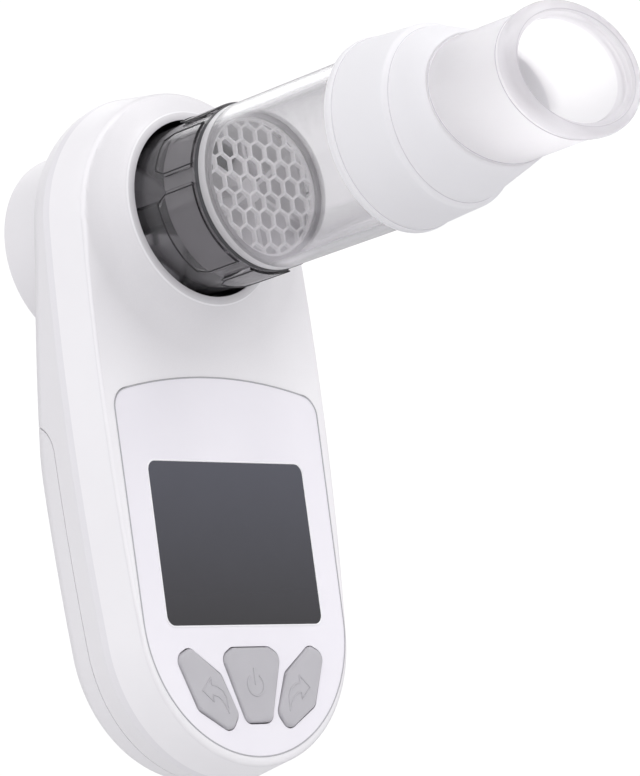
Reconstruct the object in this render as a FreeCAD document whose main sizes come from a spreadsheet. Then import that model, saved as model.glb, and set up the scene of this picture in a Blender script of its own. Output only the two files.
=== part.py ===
import FreeCAD, Part
import math
import os
import Sketcher

# A hand-held peak flow meter. Millimetres, Z up along the body, X across it.
# The breath runs along Y, from the mouthpiece at -Y to the outlet rim at Y = 0.
# Stations along the breath are written as distances forward of the outlet rim.

os.makedirs("parts", exist_ok=True)
doc = FreeCAD.newDocument("peak_flow_meter")
sheet = doc.addObject("Spreadsheet::Sheet", "Sizes")

made = []


class Dim:
    """A number with the text of the expression that gives it."""

    def __init__(self, number, text):
        self.number = float(number)
        self.text = text

    def __add__(self, other):
        other = dim(other)
        return Dim(self.number + other.number, "(%s + %s)" % (self.text, other.text))

    def __sub__(self, other):
        other = dim(other)
        return Dim(self.number - other.number, "(%s - %s)" % (self.text, other.text))

    def __mul__(self, other):
        other = dim(other)
        return Dim(self.number * other.number, "(%s * %s)" % (self.text, other.text))

    def __truediv__(self, other):
        other = dim(other)
        return Dim(self.number / other.number, "(%s / %s)" % (self.text, other.text))

    def __radd__(self, other):
        return dim(other) + self

    def __rsub__(self, other):
        return dim(other) - self

    def __rmul__(self, other):
        return dim(other) * self

    def __neg__(self):
        return Dim(-self.number, "(-1 * %s)" % self.text)


def dim(value):
    if isinstance(value, Dim):
        return value
    return Dim(value, repr(float(value)))


def size(name, number, note):
    row = len(made) + 1
    made.append(name)
    sheet.set("A%d" % row, name)
    sheet.set("B%d" % row, str(number))
    sheet.set("C%d" % row, note)
    sheet.setAlias("B%d" % row, name)
    return Dim(number, "Sizes." + name)


def bind(thing, prop, value):
    value = dim(value)
    thing.setExpression(prop, value.text)


# Stations along the breath
head_back = size("head_back", 16.0, "back of the head behind the socket")
case_back = size("case_back", 9.8, "back of the battery door")
door_seam = size("door_seam", 17.6, "where the battery door meets the rear shell at the sides")
parting = size("parting", 22.1, "joint between the two shells")
face = size("face", 30.8, "front face and control panel")
lip = size("lip", 33.7, "front rim of the socket")
collar = size("collar", 48.8, "joint between the turbine and the inlet tube")
skirt_rim = size("skirt_rim", 81.4, "rear rim of the mouthpiece")
shoulder = size("shoulder", 94.4, "shoulder of the mouthpiece")
neck_start = size("neck_start", 104.5, "where the mouthpiece turns oval")
lip_crease = size("lip_crease", 119.6, "crease behind the mouth lip")
mouth_tip = size("mouth_tip", 122.4, "front of the mouth lip")

# Batteries and the tray that holds them
cell_radius = size("cell_radius", 5.2, "battery")
cell_length = size("cell_length", 43.4, "battery without its contact")
cell_nub = size("cell_nub", 1.1, "positive contact of a battery")
plate_thick = size("plate_thick", 0.3, "contact plates")
touch = size("touch_gap", 0.03, "gap between pieces that touch")
leaf_room = size("leaf_room", 1.84, "room for a contact spring")
tray_wall = size("tray_wall", 1.2, "walls of the battery tray")
tray_high = size("tray_high", -41.6, "upper end of the battery tray")
tray_low = tray_high - (tray_wall + plate_thick + touch) * 2 - cell_nub - cell_length - leaf_room
foot_room = size("foot_room", 17.3, "from the end of the tray up to the centre of the round end")

# Outline of the case, seen from the front
head_radius = size("head_radius", 27.6, "round head")
head_height = size("head_height", -4.4, "centre of the round head")
foot_radius = size("foot_radius", 26.2, "round lower end")
foot_height = tray_low + foot_room
side_radius = size("side_radius", 500.0, "slow curve of the long sides")
wall = size("wall", 1.6, "shell walls")
side_lean = size("side_lean", -9.8, "degrees that the side walls lean in towards the front")
back_round = size("back_round", 5.4, "rounding along the back edges")
back_lean = size("back_lean", -9.0, "degrees that the side walls lean in towards the back")

# Fits
run_gap = size("run_gap", 0.08, "radial gap of parts that slide in one another")
part_gap = size("part_gap", 0.15, "gap round parts laid into one another")

# Socket and tube
tube_radius = size("tube_radius", 15.0, "outside of the turbine and the inlet tube")
tube_wall = size("tube_wall", 1.4, "wall of the turbine and the inlet tube")
socket_gap = size("socket_gap", 1.1, "open ring between the tube and the socket rim")
liner_wall = size("liner_wall", 0.9, "how far the liner reaches behind the socket rim")
sleeve_wall = size("sleeve_wall", 2.0, "ring of shell round the liner")
boss_wall = size("boss_wall", 1.05, "wall of the outlet boss outside the liner")
outlet_gap = size("outlet_gap", 1.0, "how much wider the outlet bore is than the tube")
bore_radius = tube_radius - tube_wall
socket_radius = tube_radius + socket_gap
liner_radius = socket_radius + liner_wall
sleeve_radius = liner_radius + sleeve_wall
boss_radius = liner_radius + boss_wall
outlet_radius = tube_radius + outlet_gap
outlet_depth = size("outlet_depth", 5.0, "depth of the outlet bore")
stop_radius = bore_radius
stop_width = size("stop_width", 1.6, "thickness of the stop")
screen_inset = size("screen_inset", 1.1, "how much narrower the screen is than the bore")
screen_radius = bore_radius - screen_inset


def origin_plane(body, role):
    return [item for item in body.Origin.OriginFeatures if item.Role == role][0]


def new_body(name):
    return doc.addObject("PartDesign::Body", name)


class Drawing:
    """A sketch of one body, with every measure taken from the sheet."""

    def __init__(self, body, name, role="XZ_Plane", level=None):
        self.sketch = body.newObject("Sketcher::SketchObject", name)
        self.sketch.AttachmentSupport = [(origin_plane(body, role), "")]
        self.sketch.MapMode = "FlatFace"
        if level is not None:
            bind(self.sketch, "AttachmentOffset.Base.z", level)

    def rule(self, kind, *values):
        return self.sketch.addConstraint(Sketcher.Constraint(kind, *values))

    def measure(self, kind, places, value):
        value = dim(value)
        index = self.rule(kind, *places, value.number)
        self.sketch.setExpression("Constraints[%d]" % index, value.text)

    def put(self, index, point, x, y):
        """Hold one point of a curve at x, y of the sketch."""
        for kind, axis, value in (("DistanceX", -2, dim(x)), ("DistanceY", -1, dim(y))):
            if abs(value.number) < 1e-9:
                self.rule("PointOnObject", index, point, axis)
            else:
                self.measure(kind, (-1, 1, index, point), value)

    def circle(self, x, y, radius):
        centre = FreeCAD.Vector(dim(x).number, dim(y).number, 0)
        shape = Part.Circle(centre, FreeCAD.Vector(0, 0, 1), dim(radius).number)
        index = self.sketch.addGeometry(shape, False)
        self.put(index, 3, x, y)
        self.measure("Radius", (index,), radius)
        return self

    def path(self, corners, arcs=None):
        """Close a line through the corners. arcs gives the radius of an edge that is an arc,
        positive where it bulges to the right of its run and negative where it bulges left."""
        arcs = arcs or {}
        spots = [FreeCAD.Vector(dim(x).number, dim(y).number, 0) for x, y in corners]
        count = len(spots)
        ends = []
        for i in range(count):
            start = spots[i]
            stop = spots[(i + 1) % count]
            if i in arcs:
                radius = dim(arcs[i])
                shape = bulging_arc(start, stop, radius.number)
                index = self.sketch.addGeometry(shape, False)
                self.measure("Radius", (index,), abs(radius.number) if radius.number < 0 else radius)
                forward = (shape.StartPoint - start).Length < 1e-6
                ends.append((index, 1, 2) if forward else (index, 2, 1))
            else:
                index = self.sketch.addGeometry(Part.LineSegment(start, stop), False)
                ends.append((index, 1, 2))
        for i in range(count):
            here = ends[i]
            after = ends[(i + 1) % count]
            self.rule("Coincident", here[0], here[2], after[0], after[1])
        for i in range(count):
            self.put(ends[i][0], ends[i][1], *corners[i])
        return self

    def box(self, x0, x1, y0, y1):
        return self.path([(x0, y0), (x1, y0), (x1, y1), (x0, y1)])

    def rounded_box(self, half, low, high, radius):
        """A box with round corners, half to each side of the middle."""
        half, low, high, radius = dim(half), dim(low), dim(high), dim(radius)
        corners = [
            (half - radius, low), (half, low + radius),
            (half, high - radius), (half - radius, high),
            (radius - half, high), (-half, high - radius),
            (-half, low + radius), (radius - half, low),
        ]
        return self.path(corners, {0: radius, 2: radius, 4: radius, 6: radius})

    def ring(self, outer, inner):
        return self.circle(0, 0, outer).circle(0, 0, inner)


def bulging_arc(start, stop, radius):
    """The short arc from start to stop, bulging right of its run when radius is positive."""
    chord = stop - start
    half = chord.Length / 2
    right = FreeCAD.Vector(chord.y, -chord.x, 0).normalize()
    rise = abs(radius) - math.sqrt(max(radius * radius - half * half, 0))
    if radius > 0:
        return Part.Arc(start, (start + stop) * 0.5 + right * rise, stop)
    return Part.Arc(stop, (start + stop) * 0.5 - right * rise, start)


def pad(body, drawing, length, back=False, taper=None, name="Pad"):
    feature = body.newObject("PartDesign::Pad", name)
    feature.Profile = drawing.sketch
    bind(feature, "Length", length)
    feature.Reversed = back
    if taper is not None:
        bind(feature, "TaperAngle", taper)
    return feature


def pocket(body, drawing, length, back=False, name="Pocket"):
    """Cut from the sketch towards the back, or towards the front when back is False."""
    feature = body.newObject("PartDesign::Pocket", name)
    feature.Profile = drawing.sketch
    bind(feature, "Length", length)
    feature.Reversed = not back
    return feature


def turn(body, drawing, axis="H_Axis", cut=False):
    kind = "PartDesign::Groove" if cut else "PartDesign::Revolution"
    feature = body.newObject(kind, "Turn")
    feature.Profile = drawing.sketch
    feature.ReferenceAxis = (drawing.sketch, [axis])
    feature.Angle = 360
    return feature


def around(body, features, count):
    feature = body.newObject("PartDesign::PolarPattern", "Around")
    feature.Originals = features
    feature.Axis = (origin_plane(body, "Y_Axis"), [""])
    feature.Angle = 360
    feature.Occurrences = count
    body.Tip = feature
    return feature


def soften(body, base, radius, wanted, kind="PartDesign::Fillet"):
    """Round the edges of the newest feature for which wanted(edge) holds."""
    doc.recompute()
    names = ["Edge%d" % (i + 1) for i, edge in enumerate(base.Shape.Edges) if wanted(edge)]
    feature = body.newObject(kind, "Soften")
    feature.Base = (base, names)
    bind(feature, "Radius" if kind.endswith("Fillet") else "Size", radius)
    return feature


def at_level(edge, level, tolerance=0.02):
    box = edge.BoundBox
    return abs(-box.YMin - level) < tolerance and abs(-box.YMax - level) < tolerance


def case_outline(drawing, inset):
    """The round head, the slow sides and the round foot, all tangent, set in by inset."""
    head = head_radius - inset
    foot = foot_radius - inset
    side = side_radius - inset
    far = side_radius.number - head_radius.number
    near = side_radius.number - foot_radius.number
    span = head_height.number - foot_height.number
    drop = ((near ** 2 - far ** 2) / span - head_height.number - foot_height.number) / -2
    out = math.sqrt(far ** 2 - (drop - head_height.number) ** 2)
    spots = {}
    for key, hand in (("right", -1), ("left", 1)):
        centre = FreeCAD.Vector(hand * out, drop, 0)
        for name, height in (("head", head_height.number), ("foot", foot_height.number)):
            run = FreeCAD.Vector(0, height, 0) - centre
            spots[key + name] = centre + run.normalize() * side.number
        spots[key] = centre + FreeCAD.Vector(-hand * side.number, 0, 0)
    top = FreeCAD.Vector(0, head_height.number + head.number, 0)
    low = FreeCAD.Vector(0, foot_height.number - foot.number, 0)
    runs = [
        (spots["righthead"], top, spots["lefthead"]),
        (spots["lefthead"], spots["left"], spots["leftfoot"]),
        (spots["leftfoot"], low, spots["rightfoot"]),
        (spots["rightfoot"], spots["right"], spots["righthead"]),
    ]
    arcs = [drawing.sketch.addGeometry(Part.Arc(*run), False) for run in runs]
    for i, arc in enumerate(arcs):
        drawing.rule("Tangent", arc, 2, arcs[(i + 1) % 4], 1)
    drawing.put(arcs[0], 3, 0, head_height)
    drawing.put(arcs[2], 3, 0, foot_height)
    for arc, radius in zip(arcs, (head, side, foot, side)):
        drawing.measure("Radius", (arc,), radius)
    return drawing


# Battery door and rear shell start from one solid, so their skins run on into each other.
back_form = new_body("back_form")
pad(back_form, case_outline(Drawing(back_form, "Outline", level=parting), 0),
    parting - case_back, back=True, taper=back_lean)
head_low = size("head_low", -4.0, "lower end of the flat back of the head")
slope_low = size("slope_low", -42.0, "lower end of the sloping back")
slope_cut = Drawing(back_form, "Slope", "YZ_Plane")
slope_cut.path([(1 - case_back, 40), (-head_back, 40), (-head_back, head_low),
                (-case_back, slope_low), (1 - case_back, slope_low)])
slope = pocket(back_form, slope_cut, 80, name="SlopeCut")
slope.Midplane = True
crease_round = size("crease_round", 45.0, "rounding of the bends of the back")
bends = soften(back_form, slope, crease_round,
               lambda e: e.Curve.TypeId == "Part::GeomLine" and e.BoundBox.XLength > 50)
soften(back_form, bends, back_round,
       lambda e: e.BoundBox.YMin > 0.02 - parting.number and e.BoundBox.XLength + e.BoundBox.ZLength > 0.01
       and not (e.BoundBox.ZLength < 0.01 and e.BoundBox.XLength > 50))
doc.recompute()


def block(name, x0, x1, forward0, forward1, low, high):
    """A plain box from x0 to x1, between two stations along the breath, from low to high."""
    item = doc.addObject("Part::Box", name)
    x0, x1, forward0, forward1 = dim(x0), dim(x1), dim(forward0), dim(forward1)
    low, high = dim(low), dim(high)
    bind(item, "Length", x1 - x0)
    bind(item, "Width", forward1 - forward0)
    bind(item, "Height", high - low)
    bind(item, "Placement.Base.x", x0)
    bind(item, "Placement.Base.y", -forward1)
    bind(item, "Placement.Base.z", low)
    return item


def drum(name, x, z, forward0, forward1, radius):
    """A cylinder along the breath."""
    item = doc.addObject("Part::Cylinder", name)
    forward0, forward1 = dim(forward0), dim(forward1)
    item.Placement = FreeCAD.Placement(FreeCAD.Vector(), FreeCAD.Rotation(FreeCAD.Vector(1, 0, 0), 90))
    bind(item, "Radius", radius)
    bind(item, "Height", forward1 - forward0)
    bind(item, "Placement.Base.x", x)
    bind(item, "Placement.Base.y", -forward0)
    bind(item, "Placement.Base.z", z)
    return item


def cone(name, forward0, forward1, radius0, radius1):
    """A cone along the breath, radius0 at its rear end and radius1 at its front end."""
    item = doc.addObject("Part::Cone", name)
    forward0, forward1 = dim(forward0), dim(forward1)
    item.Placement = FreeCAD.Placement(FreeCAD.Vector(), FreeCAD.Rotation(FreeCAD.Vector(1, 0, 0), 90))
    bind(item, "Radius1", radius0)
    bind(item, "Radius2", radius1)
    bind(item, "Height", forward1 - forward0)
    bind(item, "Placement.Base.y", -forward0)
    return item


def pair(kind, name, base, tool):
    item = doc.addObject("Part::" + kind, name)
    item.Base = base
    item.Tool = tool
    return item


def join(name, items):
    item = doc.addObject("Part::MultiFuse", name)
    item.Shapes = items
    return item


def group(name, items):
    item = doc.addObject("Part::Compound", name)
    item.Links = items
    return item


def body_from(name, blank):
    body = doc.addObject("PartDesign::Body", name)
    body.BaseFeature = blank
    doc.recompute()
    return body


pieces = {}

# Battery door blank and rear shell blank
door_top = size("door_top", -35.4, "top edge of the battery door")
far_side = size("far_side", 40.0, "half width of the cutting boxes")
far_low = size("far_low", -120.0, "lower end of the cutting boxes")
door_corner = size("door_corner", 6.0, "rounded upper corners of the door, seen from the side")


def door_room(name, gap):
    """What the door takes out of the back, less the gap all round."""
    body = new_body(name)
    ahead = gap - door_seam
    top = door_top - gap
    side = Drawing(body, "Side", "YZ_Plane", level=-far_side)
    side.path([(ahead, far_low), (0, far_low), (0, top), (ahead + door_corner, top),
               (ahead, top - door_corner)], {3: door_corner})
    pad(body, side, far_side * 2)
    return body


door_space = door_room("door_space", dim(0))
door_box = door_room("door_box", part_gap)
rear_blank = pair("Cut", "rear_blank", back_form, door_space)
door_blank = pair("Common", "door_blank", back_form, door_box)

# Rear shell: outlet boss, deck over the battery space, battery tray
deck = size("deck", 19.0, "front of the deck between the case and the batteries")
head_floor = size("head_floor", 17.6, "inside of the back of the head")
neck_floor = size("neck_floor", 14.6, "inside of the back under the socket")
seat_gap = size("seat_gap", 0.1, "radial gap of the turbine in its seat")
seat_radius = tube_radius + seat_gap
liner_back = size("liner_back", 18.1, "rear end of the socket liner")
liner_front = size("liner_front", 33.0, "front end of the socket liner")
tray_half = size("tray_half", 12.6, "half width of the battery tray")
tray_back = size("tray_back", 13.4, "open side of the battery tray")
tray_front = size("tray_front", 23.6, "closed side of the battery tray")
screw_high = size("screw_high", -44.5, "height of the upper case screws")
screw_low = foot_height - size("screw_drop", 11.5, "lower case screws under the centre of the round end")
screw_high_out = size("screw_high_out", 22.3, "distance of the upper case screws from the middle")
screw_low_out = size("screw_low_out", 18.1, "distance of the lower case screws from the middle")
screw_radius = size("screw_radius", 1.1, "case screw")
screw_head = size("screw_head", 1.9, "head of a case screw")
screw_length = size("screw_length", 8.0, "length of a case screw under its head")
post_radius = size("post_radius", 2.0, "screw posts")
screw_places = [(screw_high_out, screw_high), (-screw_high_out, screw_high),
                (screw_low_out, screw_low), (-screw_low_out, screw_low)]

rear = body_from("rear_shell", rear_blank)
pad(rear, Drawing(rear, "Boss", level=head_back + 1).circle(0, 0, boss_radius), head_back + 1, back=True)
rim = rear.Tip
soften(rear, rim, size("boss_round", 0.9, "bevelled rim of the outlet boss"),
       lambda e: at_level(e, 0) and e.BoundBox.XLength > boss_radius.number, "PartDesign::Chamfer")
hollow = case_outline(Drawing(rear, "Hollow", level=parting), wall).circle(0, 0, sleeve_radius)
pocket(rear, hollow, parting - deck, back=True)
head_hollow = Drawing(rear, "HeadHollow", level=deck + 0.01)
head_hollow.circle(0, head_height, head_radius - wall * 2.4).circle(0, 0, sleeve_radius)
pocket(rear, head_hollow, deck - head_floor, back=True)
neck_hollow = Drawing(rear, "NeckHollow", level=deck + 0.01)
neck_hollow.box(-23, 23, door_top + wall, -20.5)
pocket(rear, neck_hollow, deck - neck_floor, back=True)
pocket(rear, Drawing(rear, "LinerSeat", level=parting + 1).circle(0, 0, liner_radius + part_gap),
       parting + 1 - liner_back, back=True)
pocket(rear, Drawing(rear, "TubeSeat", level=parting).circle(0, 0, seat_radius),
       parting - outlet_depth - stop_width, back=True)
pocket(rear, Drawing(rear, "Outlet", level=-1).circle(0, 0, outlet_radius), outlet_depth + 1)
pocket(rear, Drawing(rear, "StopHole", level=-1).circle(0, 0, stop_radius), outlet_depth + stop_width + 2)
tray = Drawing(rear, "Tray", level=tray_front).box(-tray_half, tray_half, tray_low, tray_high)
pad(rear, tray, tray_front - tray_back, back=True)
tray_space = Drawing(rear, "TraySpace", level=tray_back)
tray_space.box(tray_wall - tray_half, tray_half - tray_wall, tray_low + tray_wall, tray_high - tray_wall)
pocket(rear, tray_space, tray_front - tray_wall * 0.6 - tray_back)
rail_back = size("rail_back", 15.0, "rear side of the rails that hold the door")
rail_thick = size("rail_thick", 1.0, "thickness of the rails")
rail_out = size("rail_out", 1.2, "how far the rails stand out")
rail_end = size("rail_end", 7.4, "from the ends of the tray to the ends of the rails")
rail_low = tray_low + rail_end
rail_high = tray_high - rail_end
for hand in (-1, 1):
    rail = Drawing(rear, "Rail", level=rail_back + rail_thick)
    inner = (tray_half - 0.4) * hand
    outer = (tray_half + rail_out) * hand
    rail.box(inner if hand > 0 else outer, outer if hand > 0 else inner, rail_low, rail_high)
    pad(rear, rail, rail_thick, back=True)
holes = Drawing(rear, "ScrewHoles", level=door_seam - 1)
for x, z in screw_places:
    holes.circle(x, z, screw_radius + part_gap)
pocket(rear, holes, 4)
pieces["rear_shell"] = rear

# Battery door: slides down off the rails
hook_out = size("hook_out", 14.2, "inner side of the door hooks")
hook_thick = size("hook_thick", 1.1, "thickness of the door hooks")
door = body_from("battery_door", door_blank)
door_step = size("door_step", 14.6, "where the inside of the door grows narrower")
door_hollow = case_outline(Drawing(door, "Hollow", level=door_seam + 1), wall * 1.5)
pocket(door, door_hollow, door_seam + 1 - door_step, back=True)
pan_half = foot_radius - wall * 2.7
door_pan = Drawing(door, "Pan", level=door_step + 0.01)
door_pan.path([(pan_half, foot_height), (pan_half, door_top + wall), (-pan_half, door_top + wall),
               (-pan_half, foot_height), (0, foot_height - pan_half)], {3: pan_half, 4: pan_half})
pocket(door, door_pan, door_step - case_back - wall, back=True)
for hand in (-1, 1):
    arm = Drawing(door, "Arm", level=door_seam - part_gap - 0.3)
    near = hook_out * hand
    far = (hook_out + hook_thick) * hand
    arm.box(near if hand > 0 else far, far if hand > 0 else near, rail_low + 1, rail_high - 1)
    pad(door, arm, door_seam - part_gap - 0.3 - case_back - wall + 0.2, back=True)
    claw = Drawing(door, "Claw", level=door_seam - part_gap - 0.3)
    tip = (tray_half + part_gap * 2) * hand
    root = (hook_out + 0.3) * hand
    claw.box(tip if hand > 0 else root, root if hand > 0 else tip, rail_low + 1, rail_high - 1)
    pad(door, claw, door_seam - part_gap - 0.3 - rail_back - rail_thick - part_gap, back=True)
pieces["battery_door"] = door

# Front shell with the trumpet round the socket
lip_wall = size("lip_wall", 1.8, "thickness of the socket rim")
flare_reach = size("flare_reach", 7.5, "width of the trumpet round the socket")
lip_radius = socket_radius + lip_wall
flare_radius = lip_radius + flare_reach
front_floor = size("front_floor", 28.6, "inside of the front face")
panel_thick = size("panel_thick", 0.6, "control panel")
edge_round = size("edge_round", 0.6, "rounding along the front edge")
front = new_body("front_shell")
pad(front, case_outline(Drawing(front, "Outline", level=parting), 0), lip - parting, taper=side_lean)
lip_bevel = size("lip_bevel", 0.5, "bevel of the socket rim")
rise = lip - lip_bevel - face
reach = flare_radius - lip_radius
flare = Drawing(front, "Flare", "YZ_Plane")
flare.path([(-lip - 1, lip_bevel - lip_radius), (-lip, lip_bevel - lip_radius), (lip_bevel - lip, -lip_radius),
            (-face, -flare_radius), (-face, -far_side * 3), (-lip - 1, -far_side * 3)],
           {2: -(rise * rise + reach * reach) / (rise * 2)})
turn(front, flare, cut=True)
soften(front, front.Tip, edge_round,
       lambda e: at_level(e, face.number) and e.BoundBox.XLength > 0.5
       and not (e.Curve.TypeId == "Part::GeomCircle"
                and abs(e.Curve.Center.x) + abs(e.Curve.Center.z) < 0.01), "PartDesign::Chamfer")
hollow = case_outline(Drawing(front, "Hollow", level=parting), wall * 1.5).circle(0, 0, sleeve_radius)
pocket(front, hollow, front_floor - parting)
pocket(front, Drawing(front, "LinerSeat", level=parting - 1).circle(0, 0, liner_radius + part_gap),
       liner_front + part_gap - parting + 1)
pocket(front, Drawing(front, "Socket", level=face - 2).circle(0, 0, socket_radius), 8)
posts = Drawing(front, "Posts", level=front_floor + 0.2)
for x, z in screw_places:
    posts.circle(x, z, post_radius)
pad(front, posts, front_floor + 0.2 - deck - 0.05, back=True)
drills = Drawing(front, "Drills", level=deck)
for x, z in screw_places:
    drills.circle(x, z, screw_radius + 0.02)
pocket(front, drills, screw_length)

# Control panel laid into the front face
panel_top = size("panel_top", -30.0, "top of the control panel at its middle")
panel_corner = size("panel_corner", -32.4, "where the top edge of the panel meets its corners")
panel_side_top = size("panel_side_top", -36.3, "top of the straight sides of the panel")
panel_half = size("panel_half", 24.3, "half width of the panel at the top")
panel_corner_out = size("panel_corner_out", 21.0, "half width of the top edge of the panel")
panel_foot = size("panel_foot", 23.9, "round foot of the panel")
panel_foot_height = foot_height + size("panel_foot_lift", 0.9, "centre of the foot of the panel above that of the case")
corner_round = size("corner_round", 3.8, "top corners of the panel")


def panel_outline(drawing, grow):
    top_drop = panel_top - panel_corner
    arch = (panel_corner_out * panel_corner_out + top_drop * top_drop) / (top_drop * 2)
    foot = panel_foot + grow
    half = panel_half + grow
    top = panel_corner + grow
    corners = [
        (foot, panel_foot_height), (half, panel_side_top), (panel_corner_out, top),
        (-panel_corner_out, top), (-half, panel_side_top), (-foot, panel_foot_height),
        (0, panel_foot_height - foot),
    ]
    return drawing.path(corners, {1: corner_round, 2: arch, 3: corner_round, 5: foot, 6: foot})


window_half = size("window_half", 18.6, "half width of the display window")
window_low = size("window_low", -73.9, "lower edge of the display window")
window_high = size("window_high", -45.05, "upper edge of the display window")
window_round = size("window_round", 1.8, "corners of the display window")
window_ledge = size("window_ledge", 0.9, "ledge under the display window")
middle_corners = [(-3.0, -90.9), (3.0, -90.9), (6.9, -79.3), (4.3, -77.8), (-4.3, -77.8), (-6.9, -79.3)]
right_corners = [(6.9, -92.5), (13.9, -88.3), (17.7, -79.3), (14.3, -77.6), (7.8, -82.4), (4.7, -89.3)]
left_corners = [(-x, z) for x, z in reversed(right_corners)]
button_names = {"power_button": middle_corners, "forward_button": right_corners, "back_button": left_corners}
button_spots = {}
for name, corners in button_names.items():
    for i, (x, z) in enumerate(corners):
        if name != "back_button":
            side = size("%s_x%d" % (name, i + 1), x, "corner %d of the button" % (i + 1))
            up = size("%s_z%d" % (name, i + 1), z, "corner %d of the button" % (i + 1))
            button_spots.setdefault(name, []).append((side, up))
button_spots["back_button"] = [(-x, z) for x, z in reversed(button_spots["forward_button"])]


def rounded(corners, radius):
    """The outline through the corners with an arc of the radius at each of them."""
    points = []
    arcs = {}
    for i, (x, z) in enumerate(corners):
        here = FreeCAD.Vector(x.number, z.number, 0)
        sides = []
        for j in (i - 1, (i + 1) % len(corners)):
            other = FreeCAD.Vector(corners[j][0].number, corners[j][1].number, 0)
            sides.append((other - here).normalize())
        reach = dim(radius) / math.tan(sides[0].getAngle(sides[1]) / 2)
        arcs[len(points)] = radius
        points += [(x + reach * side.x, z + reach * side.y) for side in sides]
    return points, arcs


def button_outline(drawing, name, grow):
    """The rounded outline of a button, moved out from its middle by about grow."""
    corners = button_spots[name]
    middle_x = sum(x.number for x, z in corners) / len(corners)
    middle_z = sum(z.number for x, z in corners) / len(corners)
    moved = []
    for x, z in corners:
        away = FreeCAD.Vector(x.number - middle_x, z.number - middle_z, 0).normalize()
        moved.append((x + dim(grow) * (away.x * 1.25), z + dim(grow) * (away.y * 1.25)))
    return drawing.path(*rounded(moved, button_round + grow))


button_gap = size("button_gap", 0.22, "gap round the buttons")
button_round = size("button_round", 1.7, "corners of the buttons")
recess = panel_outline(Drawing(front, "PanelRecess", level=face + 1), part_gap)
pocket(front, recess, panel_thick + 1, back=True)
opening = Drawing(front, "WindowOpening", level=face + 1)
opening.rounded_box(window_half - window_ledge, window_low + window_ledge,
                    window_high - window_ledge, window_round)
pocket(front, opening, 5, back=True)
for name in button_spots:
    pocket(front, button_outline(Drawing(front, "ButtonHole", level=face + 1), name, button_gap),
           5, back=True)
pieces["front_shell"] = front

panel = new_body("control_panel")
panel_level = face - panel_thick
pad(panel, panel_outline(Drawing(panel, "Outline", level=panel_level), 0), panel_thick)
window_hole = Drawing(panel, "WindowHole", level=panel_level)
window_hole.rounded_box(window_half + part_gap / 2, window_low - part_gap / 2,
                        window_high + part_gap / 2, window_round)
pocket(panel, window_hole, panel_thick)
for name in button_spots:
    pocket(panel, button_outline(Drawing(panel, "ButtonHole", level=panel_level), name, button_gap),
           panel_thick)
pieces["control_panel"] = panel

window = new_body("display_window")
pane = Drawing(window, "Outline", level=panel_level)
pane.rounded_box(window_half, window_low, window_high, window_round)
pad(window, pane, panel_thick)
pieces["display_window"] = window

# Display module behind the window
module_back = size("module_back", 26.3, "back of the display module")
module = new_body("display_module")
module_box = Drawing(module, "Frame", level=module_back)
module_edge = size("module_edge", 0.6, "frame of the display module outside the window")
module_box.rounded_box(window_half + module_edge, window_low - module_edge * 2, window_high + module_edge, 0.6)
pad(module, module_box, front_floor - part_gap - module_back)
glass_box = Drawing(module, "Glass", level=front_floor - part_gap - 0.2)
glass_box.rounded_box(window_half - window_ledge - part_gap, window_low + window_ledge + part_gap,
                      window_high - window_ledge - part_gap, 1.5)
pad(module, glass_box, panel_level - 0.05 - front_floor + part_gap + 0.2)
pieces["display_module"] = module

# Buttons: each has a collar under the shell, and presses towards the back
button_proud = size("button_proud", 0.5, "how far the buttons stand out of the panel")
button_travel = size("button_travel", 0.6, "travel of the buttons")
button_back = size("button_back", 27.1, "rear end of the buttons")
button_bevel = size("button_bevel", 0.35, "bevel along the top of a button")
button_collar = size("button_collar", 0.4, "collar that keeps a button in the shell")
for name in button_spots:
    button = new_body(name)
    cap = button_outline(Drawing(button, "Cap", level=button_back), name, 0)
    pad(button, cap, face + button_proud - button_back)
    soften(button, button.Tip, button_bevel,
           lambda e: at_level(e, (face + button_proud).number), "PartDesign::Chamfer")
    flange = button_outline(Drawing(button, "Collar", level=button_back), name, button_collar)
    pad(button, flange, front_floor - part_gap - button_back)
    pieces[name] = button

# Main board with its switches and sounder
board_back = size("board_back", 24.2, "back of the main board")
board_thick = size("board_thick", 1.2, "circuit boards")
board_half = size("board_half", 15.2, "half width of the main board")
board_low = foot_height - size("board_drop", 15.6, "lower edge of the main board under the round end's centre")
board_high = size("board_high", -34.0, "upper edge of the main board")
board = new_body("main_board")
board_box = Drawing(board, "Outline", level=board_back)
board_box.rounded_box(board_half, board_low, board_high, 1.5)
pad(board, board_box, board_thick)
pieces["main_board"] = board
board_front = board_back + board_thick
switch_places = [(0, -84.5), (11.2, -85.0), (-11.2, -85.0)]
switches = []
for i, (x, z) in enumerate(switch_places):
    base = block("switch_base_%d" % i, x - 2.6, x + 2.6, board_front, board_front + 0.7, z - 2.6, z + 2.6)
    dome = drum("switch_dome_%d" % i, x, z, board_front + 0.6, button_back - button_travel - 0.1, 1.4)
    switches.append(join("switch_%d" % i, [base, dome]))
pieces["tact_switches"] = group("tact_switches", switches)

sounder = drum("sounder_can", 0, -38.6, board_front, board_front + 2.6, 3.4)
sounder_port = drum("sounder_port", 0, -38.6, board_front + 1.6, board_front + 4, 0.7)
pieces["sounder"] = pair("Cut", "sounder", sounder, sounder_port)

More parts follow.
